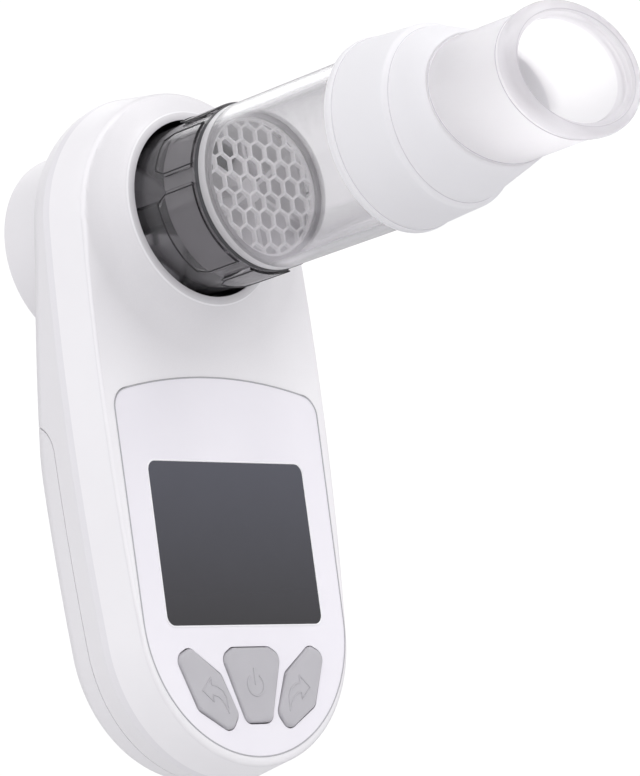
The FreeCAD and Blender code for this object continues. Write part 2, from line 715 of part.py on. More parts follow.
# Batteries and their contacts
cell_out = size("cell_out", 5.5, "distance of a battery from the middle")
cell_station = size("cell_station", 17.5, "axis of the batteries")
leaf_thick = size("leaf_thick", 0.25, "sheet of the contact springs")
leaf_reach = size("leaf_reach", 3.6, "half length of a contact spring")
leaf_half = size("leaf_half", 1.5, "half width of a contact spring")
nub_radius = size("nub_radius", 1.9, "positive contact of a battery")
tray_floor = tray_low + tray_wall
tray_roof = tray_high - tray_wall
springs = []
for hand, name in ((-1, "left"), (1, "right")):
    spread = cell_out * hand
    can = doc.addObject("Part::Cylinder", "can_" + name)
    bind(can, "Radius", cell_radius)
    bind(can, "Height", cell_length)
    nub = doc.addObject("Part::Cylinder", "nub_" + name)
    bind(nub, "Radius", nub_radius)
    bind(nub, "Height", cell_nub + 0.1)
    if hand < 0:
        can_low = tray_roof - plate_thick - touch - cell_nub - cell_length
        nub_low = tray_roof - plate_thick - touch - cell_nub - 0.1
        spring_low = tray_floor + plate_thick + touch
        spring_high = can_low - touch
    else:
        can_low = tray_floor + plate_thick + touch + cell_nub
        nub_low = tray_floor + plate_thick + touch
        spring_low = can_low + cell_length + touch
        spring_high = tray_roof - plate_thick - touch
    for item, low in ((can, can_low), (nub, nub_low)):
        bind(item, "Placement.Base.x", spread)
        bind(item, "Placement.Base.y", -cell_station)
        bind(item, "Placement.Base.z", low)
    foot_at, crown_at = (spring_low, spring_high) if hand < 0 else (spring_high, spring_low)
    sheet_in = leaf_thick * (-hand)
    spring = new_body("spring_" + name)
    leaf = Drawing(spring, "Leaf", level=cell_station - leaf_half)
    leaf.path([(spread - leaf_reach, foot_at), (spread - 1, crown_at), (spread + 1, crown_at),
               (spread + leaf_reach, foot_at), (spread + leaf_reach - leaf_thick * 1.6, foot_at),
               (spread + 0.8, crown_at - sheet_in), (spread - 0.8, crown_at - sheet_in),
               (spread - leaf_reach + leaf_thick * 1.6, foot_at)])
    pad(spring, leaf, leaf_half * 2)
    springs.append(spring)
    pieces["battery_" + name] = join("battery_" + name, [can, nub])
pieces["contact_springs"] = group("contact_springs", springs)

plates = []
for i, (hand, low) in enumerate(((-1, tray_roof - plate_thick), (1, tray_roof - plate_thick),
                                 (-1, tray_floor), (1, tray_floor))):
    middle = cell_out * hand
    plates.append(block("contact_plate_%d" % i, middle - 4, middle + 4, cell_station - 3.5,
                        cell_station + 4, low, low + plate_thick))
pieces["contact_plates"] = group("contact_plates", plates)

# Case screws
screws = []
for i, (x, z) in enumerate(screw_places):
    shank = drum("screw_shank_%d" % i, x, z, door_seam - 0.1, door_seam + screw_length, screw_radius)
    top = drum("screw_top_%d" % i, x, z, door_seam - 1.3, door_seam, screw_head)
    slot = block("screw_slot_%d" % i, x - 1.2, x + 1.2, door_seam - 2, door_seam - 0.8, z - 0.3, z + 0.3)
    solid = join("screw_solid_%d" % i, [shank, top])
    screws.append(pair("Cut", "screw_%d" % i, solid, slot))
pieces["case_screws"] = group("case_screws", screws)

# Socket liner, dark, open to the light of the sensors
liner = new_body("socket_liner")
entry_depth = size("entry_depth", 6.0, "wide mouth of the liner")
liner_profile = Drawing(liner, "Profile", "YZ_Plane")
liner_profile.path([(-liner_front, socket_radius), (-liner_front, liner_radius),
                    (-liner_back - 0.1, liner_radius), (-liner_back - 0.1, tube_radius + run_gap),
                    (entry_depth - liner_front + 1.1, tube_radius + run_gap),
                    (entry_depth - liner_front, socket_radius)])
turn(liner, liner_profile)
pieces["socket_liner"] = liner

# Sensor board under the socket
sensor_station = size("sensor_station", 22.6, "back of the sensor board")
sensor_high = -(sleeve_radius + part_gap)
sensor = new_body("sensor_board")
sensor_box = Drawing(sensor, "Outline", level=sensor_station)
sensor_box.rounded_box(11, -31.0, sensor_high, 0.8)
pad(sensor, sensor_box, board_thick)
pieces["sensor_board"] = sensor
eye_radius = size("eye_radius", 1.0, "light emitter and detectors")
eyes = []
for i, x in enumerate((-7.0, 7.0)):
    base = block("eye_base_%d" % i, x - 1.6, x + 1.6, sensor_station + board_thick,
                 sensor_station + board_thick + 1.8, -24.4, -21.2)
    eyes.append(base)
pieces["light_detectors"] = group("light_detectors", eyes)
pieces["light_emitter"] = block("light_emitter", -1.6, 1.6, sensor_station + board_thick,
                                sensor_station + board_thick + 1.8, -23.4, -20.3)

# Turbine: clear housing with guide pads
turbine_back = size("turbine_back", 6.8, "rear end of the turbine")
seal_thick = size("seal_thick", 0.8, "dark seal between the turbine and the inlet tube")
housing_front = collar - seal_thick
pad_back = size("pad_back", 38.4, "rear end of the guide pads")
pad_height = size("pad_height", 0.5, "height of the guide pads")
pad_round = size("pad_round", 2.4, "rounded ends of the guide pads")
housing = new_body("turbine_housing")
pad(housing, Drawing(housing, "Tube", level=turbine_back).ring(tube_radius, bore_radius),
    housing_front - turbine_back)
key_sketch = Drawing(housing, "GuidePads", level=pad_back)
top_radius = tube_radius + pad_height
low_radius = tube_radius - 0.3
for start, stop in ((180, 244), (254, 290)):
    spots = []
    for radius, angle in ((low_radius, start), (top_radius, start), (top_radius, stop), (low_radius, stop)):
        spots.append((radius * math.cos(math.radians(angle)), radius * math.sin(math.radians(angle))))
    key_sketch.path([spots[0], spots[1], spots[2], spots[3]], {1: top_radius, 3: -low_radius})
keys = pad(housing, key_sketch, housing_front - 0.6 - pad_back)
ring_of_keys = around(housing, [keys], 3)
soften(housing, ring_of_keys, pad_round,
       lambda e: at_level(e, pad_back.number) and 0.3 < e.Length < 0.7, "PartDesign::Chamfer")
pieces["turbine_housing"] = housing

seal = new_body("joint_seal")
pad(seal, Drawing(seal, "Ring", level=housing_front).ring(tube_radius + 0.1, bore_radius), seal_thick)
pieces["joint_seal"] = seal

# Inlet tube with the end ring that holds the screen
end_ring = size("end_ring", 1.4, "end ring of the inlet tube")
inlet_front = size("inlet_front", 92.8, "front end of the inlet tube")
inlet = new_body("inlet_tube")
pad(inlet, Drawing(inlet, "Tube", level=collar).ring(tube_radius, bore_radius), inlet_front - collar)
pad(inlet, Drawing(inlet, "EndRing", level=collar).ring(bore_radius + 0.3, screen_radius), end_ring)
pieces["inlet_tube"] = inlet

# Honeycomb screen: a disc pierced by six-sided cells, with a plain rim
cell_pitch = size("cell_pitch", 3.5, "distance between the cells of the screen")
cell_wall = size("cell_wall", 0.36, "walls between the cells")
screen_thick = size("screen_thick", 0.8, "thickness of the screen")
screen_rim = size("screen_rim", 0.5, "plain rim of the screen")
disc = drum("screen_disc", 0, 0, collar + 0.1, collar + 0.1 + screen_thick, screen_radius - screen_rim / 2)
cells = []
rows = 4
for row in range(-rows, rows + 1):
    for column in range(-5, 6):
        across = column + (0.5 if row % 2 else 0)
        x = cell_pitch * across
        z = cell_pitch * (row * math.sqrt(3) / 2)
        if math.hypot(x.number, z.number) > (screen_radius + cell_pitch * 0.42).number:
            continue
        cell = doc.addObject("Part::Prism", "cell")
        cell.Polygon = 6
        spin = FreeCAD.Rotation(FreeCAD.Vector(1, 0, 0), 90)
        cell.Placement = FreeCAD.Placement(FreeCAD.Vector(), spin * FreeCAD.Rotation(FreeCAD.Vector(0, 0, 1), 30))
        bind(cell, "Circumradius", (cell_pitch - cell_wall) / math.sqrt(3))
        bind(cell, "Height", screen_thick + 2)
        bind(cell, "Placement.Base.x", x)
        bind(cell, "Placement.Base.y", 1 - collar)
        bind(cell, "Placement.Base.z", z)
        cells.append(cell)
grid = pair("Cut", "screen_grid", disc, group("screen_cells", cells))
rim_out = drum("screen_rim_out", 0, 0, collar + 0.1, collar + 0.1 + screen_thick, screen_radius - 0.02)
rim_in = drum("screen_rim_in", 0, 0, collar - 1, collar + 3, screen_radius - screen_rim)
pieces["honeycomb_screen"] = join("honeycomb_screen", [grid, pair("Cut", "screen_rim_ring", rim_out, rim_in)])

# Swirl rings at both ends of the rotor
vane_count = 6
vane_twist = size("vane_twist", 34.0, "degrees that a vane turns along the breath")
vane_thick = size("vane_thick", 0.7, "thickness of a swirl vane")
hub_radius = size("hub_radius", 2.2, "hub of the swirl rings")
ring_wall = size("ring_wall", 0.7, "outer band of the swirl rings")
ring_radius = bore_radius - 0.03
pin_radius = size("pin_radius", 0.5, "rotor shaft")
cup_radius = size("cup_radius", 1.2, "bearing cups")
cup_length = size("cup_length", 1.6, "bearing cups")


def swirl_ring(name, back, front, hand, bearing_front):
    """A hub and a band joined by vanes that turn about the breath. The bearing sits in the
    front end of the hub when bearing_front holds, and in its rear end otherwise."""
    body = new_body(name + "_vanes")
    back, front = dim(back), dim(front)
    sections = []
    vane_reach = ring_radius.number + 0.83
    for level, turned in ((back, 0), (front, 1)):
        angle = math.radians(vane_twist.number * turned * hand)
        along = FreeCAD.Vector(math.cos(angle), math.sin(angle), 0)
        over = FreeCAD.Vector(-math.sin(angle), math.cos(angle), 0)
        corners = []
        for reach, side in ((1, -1), (vane_reach, -1), (vane_reach, 1), (1, 1)):
            spot = along * reach + over * (side * vane_thick.number / 2)
            corners.append((spot.x, spot.y))
        sections.append(Drawing(body, "Section", level=level).path(corners))
    loft = body.newObject("PartDesign::AdditiveLoft", "Vane")
    loft.Profile = sections[0].sketch
    loft.Sections = [item.sketch for item in sections[1:]]
    loft.Ruled = True
    around(body, [loft], vane_count)
    pad(body, Drawing(body, "Hub", level=back).circle(0, 0, hub_radius), front - back)
    clip = pair("Common", name + "_clip", body, drum(name + "_space", 0, 0, back, front, ring_radius - 0.1))
    band = pair("Cut", name + "_band", drum(name + "_band_out", 0, 0, back, front, ring_radius),
                drum(name + "_band_in", 0, 0, back - 1, front + 1, ring_radius - ring_wall))
    whole = join(name + "_whole", [clip, band])
    start = front - cup_length if bearing_front else back
    pit = drum(name + "_pit", 0, 0, start - (0 if bearing_front else 1),
               start + cup_length + (1 if bearing_front else 0), cup_radius)
    return pair("Cut", name, whole, pit), start


rear_ring_back = size("rear_ring_back", 9.0, "rear swirl ring")
rear_ring_front = size("rear_ring_front", 15.5, "rear swirl ring")
front_ring_back = size("front_ring_back", 39.4, "front swirl ring")
front_ring_front = size("front_ring_front", 46.6, "front swirl ring")
pieces["rear_swirl_ring"], rear_cup = swirl_ring("rear_swirl_ring", rear_ring_back, rear_ring_front, -1, True)
pieces["front_swirl_ring"], front_cup = swirl_ring("front_swirl_ring", front_ring_back, front_ring_front,
                                                   1, False)
for name, start in (("rear_bearing", rear_cup), ("front_bearing", front_cup)):
    cup = drum(name + "_cup", 0, 0, start, start + cup_length, cup_radius - 0.01)
    hole = drum(name + "_hole", 0, 0, start - 1, start + cup_length + 1, pin_radius + 0.05)
    pieces[name] = pair("Cut", name, cup, hole)

# Rotor: a thin plate on a steel shaft
plate_half = size("plate_half", 11.0, "half width of the rotor plate")
rotor_thick = size("rotor_thick", 0.5, "thickness of the rotor plate")
rotor_back = size("rotor_back", 18.0, "rotor plate")
rotor_front = size("rotor_front", 36.8, "rotor plate")
plate = block("rotor_sheet", -plate_half, plate_half, rotor_back, rotor_front,
              -rotor_thick / 2, rotor_thick / 2)
tube = drum("rotor_sleeve", 0, 0, rotor_back, rotor_front, pin_radius + 0.5)
rotor_hole = drum("rotor_hole", 0, 0, rotor_back - 1, rotor_front + 1, pin_radius)
pieces["rotor"] = pair("Cut", "rotor", join("rotor_whole", [plate, tube]), rotor_hole)
pieces["rotor_shaft"] = drum("rotor_shaft", 0, 0, rear_cup + 0.3, front_cup + cup_length - 0.3, pin_radius)

# Mouthpiece: a round skirt that slips over the inlet tube, then an oval neck
skirt_wall = size("skirt_wall", 1.82, "wall of the mouthpiece at its rear rim")
shoulder_wall = size("shoulder_wall", 0.95, "wall of the mouthpiece at its shoulder")
skirt_radius = tube_radius + skirt_wall
shoulder_radius = tube_radius + shoulder_wall
cone_radius = tube_radius
neck_half = size("neck_half", 16.2, "half width of the oval neck at its root")
neck_height = size("neck_height", 11.06, "half height of the oval neck")
neck_end_half = size("neck_end_half", 15.75, "half width of the oval neck at the lip")
mouth_half = size("mouth_half", 16.4, "half width of the mouth lip")
mouth_height = size("mouth_height", 11.5, "half height of the mouth lip")
bore_half = size("bore_half", 12.83, "half width of the mouth opening")
bore_height = size("bore_height", 8.81, "half height of the mouth opening")
step_depth = size("step_depth", 1.0, "shoulder step")


def section(name, station, half, height):
    """A round or oval outline across the breath."""
    half, height = dim(half), dim(height)
    item = doc.addObject("Part::Ellipse", name)
    item.Placement = FreeCAD.Placement(FreeCAD.Vector(), FreeCAD.Rotation(FreeCAD.Vector(1, 0, 0), 90))
    bind(item, "MajorRadius", half)
    bind(item, "MinorRadius", height)
    bind(item, "Placement.Base.y", -dim(station))
    return item


def through(name, rows):
    """A solid through the sections, straight from each to the next."""
    sections = [section("%s_%d" % (name, i), *row) for i, row in enumerate(rows)]
    item = doc.addObject("Part::Loft", name)
    item.Sections = sections
    item.Solid = True
    item.Ruled = True
    return item


step_front = shoulder + step_depth
grip = tube_radius + run_gap
stop_at = inlet_front + 0.3
throat = cone_radius - 1.1
neck_outside = through("neck_outside", [
    (step_front, cone_radius - 0.04, cone_radius - 0.06),
    (neck_start, neck_half, neck_height),
    (lip_crease, neck_end_half, neck_height - 0.05),
    (mouth_tip - 1.6, mouth_half, mouth_height),
    (mouth_tip - 0.6, mouth_half - 0.4, mouth_height - 0.4),
    (mouth_tip, mouth_half - 1.6, mouth_height - 1.3)])
skirt = join("mouth_outside", [
    cone("skirt_cone", skirt_rim, shoulder, skirt_radius, shoulder_radius),
    cone("step_cone", shoulder, step_front, shoulder_radius, cone_radius), neck_outside])
neck_inside = through("neck_inside", [
    (shoulder, throat - 0.04, throat - 0.06),
    (neck_start, neck_half - 2.4, neck_height - 1.7),
    (mouth_tip - 1.6, bore_half, bore_height),
    (mouth_tip + 1, bore_half + 1.6, bore_height + 1.2)])
mouth_space = join("mouth_inside", [
    drum("skirt_space", 0, 0, skirt_rim - 1, stop_at, grip),
    cone("throat_cone", stop_at, shoulder, grip, throat), neck_inside])
pieces["mouthpiece"] = pair("Cut", "mouthpiece", skirt, mouth_space)

doc.recompute()

for item in doc.Objects:
    wrong = [state for state in item.State if state in ("Invalid", "Error")]
    if wrong:
        raise RuntimeError("%s is %s" % (item.Label, wrong))
for name, item in pieces.items():
    shape = item.Shape
    if shape.isNull() or not shape.isValid():
        raise RuntimeError("%s has no valid shape" % name)
    shape.exportStep("parts/%s.step" % name)
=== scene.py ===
import math

import bmesh
import bpy
from mathutils import Matrix, Vector


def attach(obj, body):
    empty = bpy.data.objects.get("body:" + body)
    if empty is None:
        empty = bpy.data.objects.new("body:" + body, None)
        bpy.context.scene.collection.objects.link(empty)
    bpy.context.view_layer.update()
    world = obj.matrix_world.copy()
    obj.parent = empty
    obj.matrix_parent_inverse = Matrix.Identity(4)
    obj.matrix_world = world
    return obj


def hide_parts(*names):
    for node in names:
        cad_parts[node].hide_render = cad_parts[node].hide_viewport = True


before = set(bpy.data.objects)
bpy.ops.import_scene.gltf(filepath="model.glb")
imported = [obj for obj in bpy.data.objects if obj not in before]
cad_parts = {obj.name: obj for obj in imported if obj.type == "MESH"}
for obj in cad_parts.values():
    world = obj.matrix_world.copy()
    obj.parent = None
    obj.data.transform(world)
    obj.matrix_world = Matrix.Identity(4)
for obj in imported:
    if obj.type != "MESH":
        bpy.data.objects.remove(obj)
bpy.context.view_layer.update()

MM = 0.001

# Lengths are in millimetres. Stations are counted ahead of the outlet rim, towards the mouth.
FACE = 30.8            # station of the control panel's front
KEY_TOP = 31.3         # station of the tops of the keys
SEAM = 22.1            # station of the parting line between the two shells
TUBE = 15.0            # outside radius of the clear tubes
ROUND = 96             # corners of a round or oval section


def spot(x, forward, z):
    """A place in metres from millimetres: across, ahead of the outlet rim, up."""
    return Vector((x * MM, -forward * MM, z * MM))


# ---------------------------------------------------------------- camera

FOCAL = 3828.232       # pixels of a frame that is 776 pixels high
FRAME_HEIGHT = 776
SENSOR = 36

camera = bpy.data.objects.new("camera", bpy.data.cameras.new("camera"))
camera.data.sensor_width = SENSOR
camera.data.lens = FOCAL / FRAME_HEIGHT * SENSOR
camera.data.clip_start = 0.05
across = Vector((0.70475296, -0.69662729, -0.13428955))
down = Vector((0.03349143, 0.22174318, -0.97452978))
ahead = Vector((0.70866183, 0.6823052, 0.17960521))
turn = Matrix((across, -down, -ahead)).transposed()
stand = Vector((-461.418, -500.258, -154.489)) * MM
camera.matrix_world = Matrix.Translation(stand) @ turn.to_4x4()
bpy.context.scene.collection.objects.link(camera)
bpy.context.scene.camera = camera


# ---------------------------------------------------------------- finishes

class Wire:
    """A socket of a network, so that its maths reads as plain expressions."""

    def __init__(self, network, socket):
        self.network = network
        self.socket = socket

    def _with(self, operation, other, first=True):
        values = (self, other) if first else (other, self)
        return self.network.node("ShaderNodeMath", {"operation": operation}, values)

    def __add__(self, other):
        return self._with("ADD", other)

    def __sub__(self, other):
        return self._with("SUBTRACT", other)

    def __rsub__(self, other):
        return self._with("SUBTRACT", other, False)

    def __mul__(self, other):
        return self._with("MULTIPLY", other)

    def __truediv__(self, other):
        return self._with("DIVIDE", other)

    def __pow__(self, other):
        return self._with("POWER", other)

    def at_most(self, other):
        return self._with("MINIMUM", other)

    def at_least(self, other):
        return self._with("MAXIMUM", other)

    def clamped(self):
        return self.at_least(0).at_most(1)

    __radd__ = __add__
    __rmul__ = __mul__


class Network:
    """The nodes of a finish or of the sky."""

    def __init__(self, tree):
        self.tree = tree

    def _feed(self, socket, value):
        if isinstance(value, Wire):
            self.tree.links.new(value.socket, socket)
        elif isinstance(value, (tuple, list)) and len(value) == 3 and socket.type == "RGBA":
            socket.default_value = (*value, 1)
        else:
            socket.default_value = value

    def node(self, kind, settings=(), values=(), output=0):
        """Adds a node: its settings first, then a value or wire for each socket.

        An output node has no sockets to go on from, so it gives no wire.
        """
        made = self.tree.nodes.new(kind)
        for word, value in dict(settings).items():
            setattr(made, word, value)
        rows = values.items() if isinstance(values, dict) else enumerate(values)
        for key, value in rows:
            self._feed(made.inputs[key], value)
        return Wire(self, made.outputs[output]) if len(made.outputs) else None


class Finish(Network):
    """A finish for one kind of surface, with its constants set straight on the shader."""

    def __init__(self, name, colour, roughness, **constants):
        self.material = bpy.data.materials.new(name)
        self.material.use_nodes = True
        super().__init__(self.material.node_tree)
        self.shader = self.tree.nodes["Principled BSDF"]
        self.set("Base Color", colour)
        self.set("Roughness", roughness)
        for word, value in constants.items():
            self.set(word.replace("_", " "), value)

    def set(self, socket, value):
        """A wire is linked to the shader's socket, and anything else is put on it."""
        self._feed(self.shader.inputs[socket], value)

    def place(self):
        """Where a point is on the object, in metres."""
        return self.node("ShaderNodeTexCoord", output="Object")

    def axis(self, letter):
        """How far along an axis a point is, in millimetres."""
        split = self.node("ShaderNodeSeparateXYZ", values=(self.place(),), output="XYZ".index(letter))
        return split / MM

    def past(self, letter, edge, rise):
        """0 before a place on an axis and 1 past it, by rise for each millimetre.

        With a negative rise it is the other way round.
        """
        return ((self.axis(letter) - edge) * rise).clamped()

    def grain(self, size, detail=2.0):
        """Soft noise from 0 to 1 whose blotches are about size millimetres wide."""
        return self.node("ShaderNodeTexNoise", {"noise_dimensions": "3D"},
                         {"Vector": self.place(), "Scale": 1 / (size * MM), "Detail": detail,
                          "Roughness": 0.5})

    def mix(self, mask, first, second):
        """first where the mask is 0, second where it is 1."""
        return self.node("ShaderNodeMix", {"data_type": "RGBA"}, {0: mask, 6: first, 7: second},
                         output=2)

    def bump(self, height, strength, depth):
        """Small dents and bumps, depth millimetres high at full strength."""
        self.set("Normal", self.node("ShaderNodeBump", values={
            "Strength": strength, "Distance": depth * MM, "Height": height}))

    def cover(self, shader, amount):
        """Lets a second shader stand in for the first by the amount, from 0 to 1."""
        first = Wire(self, self.shader.outputs[0])
        both = self.node("ShaderNodeMixShader", values=(amount, first, shader))
        self._feed(self.tree.nodes["Material Output"].inputs["Surface"], both)

    def gloss(self, size, low, high, detail=2.0):
        """Roughness that drifts between two values."""
        self.set("Roughness", self.grain(size, detail) * (high - low) + low)

    def mottle(self, dark, light, size, low, high):
        """Slight changes of colour and of gloss, as moulded parts have."""
        self.set("Base Color", self.mix(self.grain(size, 3), dark, light))
        self.gloss(size * 0.4, low, high)


def rgb(*levels):
    """A colour from three 0 to 255 levels as a screen shows them."""
    return tuple((v / 255 / 12.92 if v <= 10 else ((v / 255 + 0.055) / 1.055) ** 2.4) for v in levels)


# The front shell: painted shade deep round the flare, a painted highlight at the socket's rim, and a
# greyer painted shade strip towards the seam in place of a bevel
RIM_LOW, RIM_HIGH = 33.35, 33.66
PAINTED_SHADE_STRIP_EDGE = 23.5
white_shell = Finish("white_shell_plastic", rgb(244, 244, 245), 0.36, IOR=1.5)
# Ambient occlusion darkens the colour where the tube and the flare hem the surface in: painted shade.
occlusion_painted_shade = white_shell.node("ShaderNodeAmbientOcclusion", {"samples": 12}, {"Distance": 26 * MM},
                            output=1)
# A narrow band on the socket's rim is made brighter and kept free of the painted shade: a painted
# highlight.
rim = white_shell.past("Y", -RIM_LOW, -8) * white_shell.past("Y", -RIM_HIGH, 20) * 0.8
shell_white = white_shell.mix(white_shell.grain(16, 3), rgb(239, 237, 239), rgb(243, 241, 243))
shell_white = white_shell.mix(occlusion_painted_shade * 1.5 - 0.5, rgb(176, 173, 177), shell_white)
shell_white = white_shell.mix(rim, shell_white, rgb(250, 249, 251))
# Towards the seam the colour turns greyer: a painted shade strip standing in for a bevel's shading.
shell_white = white_shell.mix(white_shell.past("Y", -PAINTED_SHADE_STRIP_EDGE, 9), shell_white, rgb(230, 228, 231))
white_shell.set("Base Color", shell_white)
white_shell.gloss(7, 0.33, 0.40)
white_shell.bump(white_shell.grain(0.28, 3) + white_shell.grain(1.4) * 0.6, 0.07, 0.02)

back_shell = Finish("back_shell_plastic", rgb(243, 243, 244), 0.42, IOR=1.5)
back_shell.mottle(rgb(231, 229, 231), rgb(236, 234, 236), 20, 0.40, 0.48)
back_shell.bump(back_shell.grain(0.35, 4), 0.16, 0.03)

panel_film = Finish("panel_film", rgb(238, 236, 241), 0.30, IOR=1.5)
panel_film.mottle(rgb(236, 233, 239), rgb(240, 237, 242), 12, 0.26, 0.34)
panel_film.bump(panel_film.grain(0.22, 3), 0.05, 0.02)

# The window's glass is darkest at its foot and lighter towards its top: a painted reflection
WINDOW_FOOT, WINDOW_HEIGHT = -73.9, 28.9
dark_glass = Finish("dark_display_glass", rgb(40, 40, 46), 0.08, IOR=1.45, Coat_Weight=0.25,
                    Coat_Roughness=0.04)
# height runs from 0 at the window's foot to 1 at its top and grades the painted reflection.
height = ((dark_glass.axis("Z") - WINDOW_FOOT) / WINDOW_HEIGHT).clamped()
dark_glass.set("Base Color", dark_glass.mix(height + dark_glass.grain(7) * 0.08 - 0.04,
                                            rgb(25, 22, 28), rgb(66, 67, 78)))
dark_glass.gloss(2.5, 0.07, 0.12, 4)

grey_rubber = Finish("grey_button_rubber", rgb(196, 194, 198), 0.5, IOR=1.42)
grey_rubber.mottle(rgb(182, 180, 184), rgb(190, 188, 192), 5, 0.46, 0.56)
grey_rubber.bump(grey_rubber.grain(0.15, 3), 0.12, 0.02)

black_liner = Finish("black_liner_plastic", rgb(34, 34, 37), 0.34)
black_liner.mottle(rgb(28, 28, 31), rgb(40, 40, 43), 4, 0.3, 0.42)
black_liner.bump(black_liner.grain(0.2, 2), 0.1, 0.02)

dark_seal = Finish("dark_joint_seal", rgb(58, 58, 61), 0.45)
dark_seal.mottle(rgb(52, 52, 55), rgb(66, 66, 69), 2, 0.4, 0.5)

# The clear tube turns milky at its turbine end, and where it is seen edge on
END_RING = 50.6
clear_tube = Finish("clear_tube_plastic", rgb(243, 242, 244), 0.03, IOR=1.46,
                    Transmission_Weight=1.0)
clear_tube.gloss(6, 0.02, 0.06, 3)
clear_tube.bump(clear_tube.grain(9, 2), 0.03, 0.2)
end_ring = clear_tube.past("Y", -END_RING, 6)
edge_on = clear_tube.node("ShaderNodeLayerWeight", values={"Blend": 0.5}, output=1)
milky = clear_tube.node("ShaderNodeBsdfPrincipled", values={
    "Base Color": clear_tube.mix(end_ring, rgb(200, 198, 201), rgb(226, 224, 226)),
    "Roughness": 0.3, "Transmission Weight": 0.15})
clear_tube.cover(milky, (end_ring * 0.62 + edge_on ** 2.2 * 0.8 + 0.02).clamped())

smoke_tube = Finish("clear_turbine_plastic", rgb(216, 214, 217), 0.06, IOR=1.46,
                    Transmission_Weight=1.0)
smoke_tube.gloss(5, 0.05, 0.11, 3)
smoke_tube.bump(smoke_tube.grain(8, 2), 0.03, 0.2)
haze = smoke_tube.node("ShaderNodeBsdfPrincipled",
                       values={"Base Color": rgb(98, 96, 99), "Roughness": 0.4})
smoke_tube.cover(haze, smoke_tube.grain(6, 3) * 0.1 + 0.2)

# The mouthpiece: a thick, nearly white skirt, a neck that lets light through, a greyer lip, and a
# faint painted glow everywhere but the lip
SKIRT_END = 104.3
LIP_START = 119.3
frosted = Finish("frosted_mouthpiece_plastic", rgb(252, 251, 252), 0.42, IOR=1.25,
                 Transmission_Weight=0.85, Specular_IOR_Level=0.3, Emission_Strength=0.1)
lip = frosted.past("Y", -LIP_START, -2)
skirt = frosted.past("Y", -SKIRT_END, 2)
frosted_white = frosted.mix(frosted.grain(14, 3), rgb(250, 249, 251), rgb(254, 253, 254))
frosted.set("Base Color", frosted.mix(lip, frosted_white, rgb(226, 223, 227)))
# The emission is a faint painted glow that stands in for light passing through the plastic, dimmer at
# the lip.
frosted.set("Emission Color", frosted.mix(lip, rgb(255, 254, 255), rgb(60, 58, 60)))
frosted.gloss(3, 0.40, 0.48, 3)
frosted.bump(frosted.grain(0.5, 3), 0.1, 0.02)
glow = frosted.node("ShaderNodeBsdfTranslucent", values={"Color": rgb(252, 251, 252)})
white = frosted.node("ShaderNodeBsdfDiffuse", values={"Color": rgb(250, 249, 251)})
body_white = frosted.node("ShaderNodeMixShader", values=(skirt * 0.85, glow, white))
frosted.cover(body_white, skirt * 0.42 + 0.5 - lip * 0.32)

# The honeycomb's emission is a faint painted glow that stands in for light reaching it through the
# clear tube.
honeycomb_with_painted_glow = Finish("honeycomb_plastic", rgb(236, 235, 236), 0.4,
                      Emission_Color=rgb(255, 253, 254), Emission_Strength=0.16)
honeycomb_with_painted_glow.mottle(rgb(230, 229, 230), rgb(242, 241, 242), 3, 0.36, 0.46)

vane_plastic = Finish("clear_vane_plastic", rgb(252, 251, 253), 0.1, IOR=1.46,
                      Transmission_Weight=0.3)
vane_plastic.gloss(3, 0.07, 0.13)

# The front vanes' emission is a faint painted glow that stands in for light lost through the clear
# walls round them.
front_vanes_painted_glow = Finish("front_vane_plastic", rgb(246, 245, 247), 0.1, IOR=1.46,
                      Transmission_Weight=0.2, Emission_Color=rgb(255, 252, 253),
                      Emission_Strength=0.04)
front_vanes_painted_glow.gloss(3, 0.07, 0.13)

rotor_plastic = Finish("rotor_sheet", rgb(48, 48, 52), 0.4)
rotor_plastic.mottle(rgb(42, 42, 46), rgb(56, 56, 60), 3, 0.34, 0.46)

steel = Finish("bright_steel", rgb(196, 196, 200), 0.28, Metallic=1.0)
steel.gloss(0.6, 0.2, 0.36, 3)
steel.set("Base Color", steel.mix(steel.grain(2, 3), rgb(184, 184, 188), rgb(206, 206, 210)))

board_green = Finish("circuit_board", rgb(24, 84, 56), 0.4, Coat_Weight=0.3)
traces = board_green.node("ShaderNodeTexBrick", values={
    "Vector": board_green.place(), "Scale": 420.0, "Mortar Size": 0.03}, output=1)
board_green.set("Base Color", board_green.mix(traces, rgb(22, 80, 53), rgb(46, 112, 76)))
board_green.bump(traces, 0.2, 0.03)

black_part = Finish("black_component_plastic", rgb(30, 30, 33), 0.45)
black_part.mottle(rgb(24, 24, 27), rgb(38, 38, 41), 1.2, 0.4, 0.55)

lens_clear = Finish("sensor_lens_plastic", rgb(72, 40, 52), 0.12, Coat_Weight=0.5)
lens_clear.mottle(rgb(60, 32, 44), rgb(82, 48, 60), 1, 0.08, 0.16)

brass = Finish("bearing_brass", rgb(214, 178, 108), 0.3, Metallic=1.0)
brass.gloss(0.5, 0.24, 0.38, 3)

# The cells: a plain blue-grey wrap below, a silver band above
FOIL_START = -56.4
cell_wrap = Finish("battery_wrap", rgb(60, 62, 68), 0.3, Coat_Weight=0.4)
foil = cell_wrap.past("Z", FOIL_START, 4)
cell_wrap.set("Base Color", cell_wrap.mix(foil, rgb(58, 72, 88), rgb(190, 191, 194)))
cell_wrap.set("Metallic", foil * 0.8)
cell_wrap.gloss(1.5, 0.24, 0.34, 3)

# Finishes of the fine lines: panel outline, painted shade in the mouthpiece's corners, parting line,
# painted highlight round the window, painted shade along the guide pads
seam_grey = Finish("seam_shade", rgb(176, 175, 179), 0.6)
seam_grey.mottle(rgb(168, 167, 171), rgb(184, 183, 187), 3, 0.55, 0.65)

